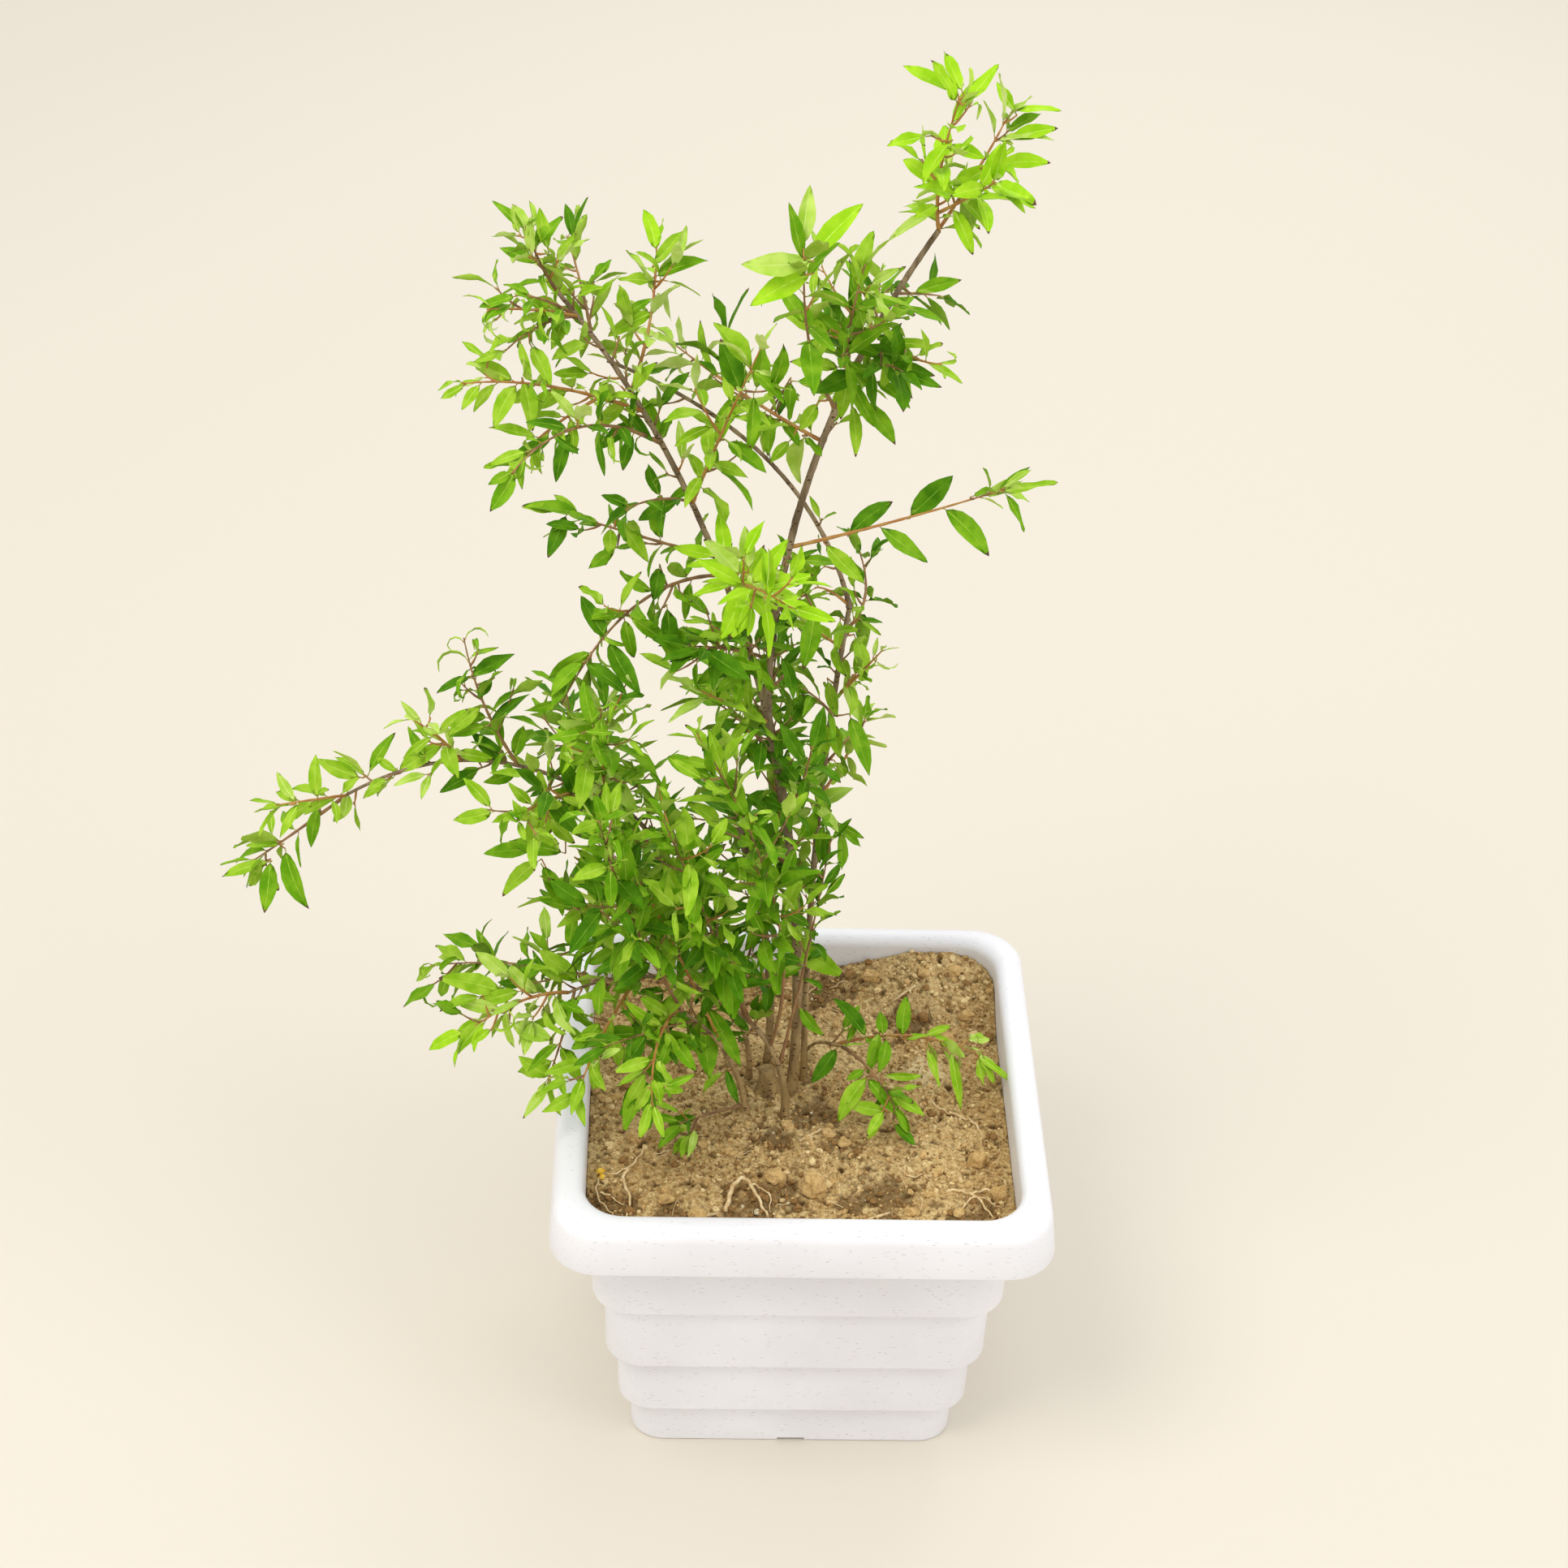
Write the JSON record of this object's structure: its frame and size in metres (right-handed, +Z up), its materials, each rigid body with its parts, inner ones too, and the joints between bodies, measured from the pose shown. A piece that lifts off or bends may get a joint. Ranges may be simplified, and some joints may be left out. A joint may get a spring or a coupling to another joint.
{
  "type": "potted pomegranate shrub",
  "caption": "Young multi-stemmed pomegranate shrub, open and leaning to one side, in a square stepped plastic planter with a broad rolled rim, filled with dry soil.",
  "frame": {"origin": "centre of the planter's flat underside, on the ground", "axes": "+Z up the shrub; +X to the right of the planter's front side; +Y to its back"},
  "size_m": [0.4991, 0.3043, 0.887],
  "materials": {
    "planter": "satin white with fine pale grey flecks",
    "soil": "dry crumbly clay soil",
    "bark": "thin grey-brown bark, unpolished",
    "leaves": "smooth mid-green leaves with a soft sheen, on reddish twigs",
    "young_leaves": "smooth yellow-green young leaves, on reddish twigs"
  },
  "bodies": {
    "root": {"planter": "planter", "soil": "soil", "main_stem": "bark", "right_leader": "bark", "left_leader": "bark", "rear_stem": "bark", "rear_arch": "bark", "front_stem": "bark", "cut_stem": "bark", "left_stem": "bark", "left_rear_stem": "bark", "root_crown": "bark", "arch_bough": "bark", "arch_end": "bark", "low_bough": "bark", "front_bough": "bark", "right_sucker": "bark", "foliage_top": "young_leaves", "foliage_top_right": "young_leaves", "foliage_upper_front": "leaves", "foliage_upper_tip": "young_leaves", "foliage_upper_right": "leaves", "foliage_upper_rear": "leaves", "foliage_centre_top": "leaves", "foliage_crossing": "leaves", "foliage_upright_left": "leaves", "foliage_left_top": "young_leaves", "foliage_left_top_side": "leaves", "foliage_left_top_rear": "leaves", "foliage_left_outer": "leaves", "foliage_left_outer_low": "leaves", "foliage_left_mid": "leaves", "foliage_left_droop": "leaves", "foliage_centre_front": "young_leaves", "foliage_right_reach": "leaves", "foliage_right_high": "leaves", "foliage_right_mid": "leaves", "foliage_right_low": "leaves", "foliage_right_front": "leaves", "foliage_centre_left": "leaves", "foliage_centre_rear": "leaves", "foliage_rear_low": "leaves", "foliage_arch_tip": "leaves", "foliage_arch_up": "leaves", "foliage_arch_up_left": "leaves", "foliage_arch_front": "leaves", "foliage_arch_rear": "leaves", "foliage_left_upright": "young_leaves", "foliage_heart_left": "leaves", "foliage_heart_rear": "leaves", "foliage_outer_shoot": "leaves", "foliage_inner_shoot": "leaves", "foliage_tall_shoot": "leaves", "foliage_low_tip": "young_leaves", "foliage_low_rear": "leaves", "foliage_low_front": "leaves", "foliage_front": "leaves", "foliage_foot_shoot": "leaves", "foliage_sucker_front": "leaves", "foliage_sucker_side": "leaves"}
  },
  "joints": []
}
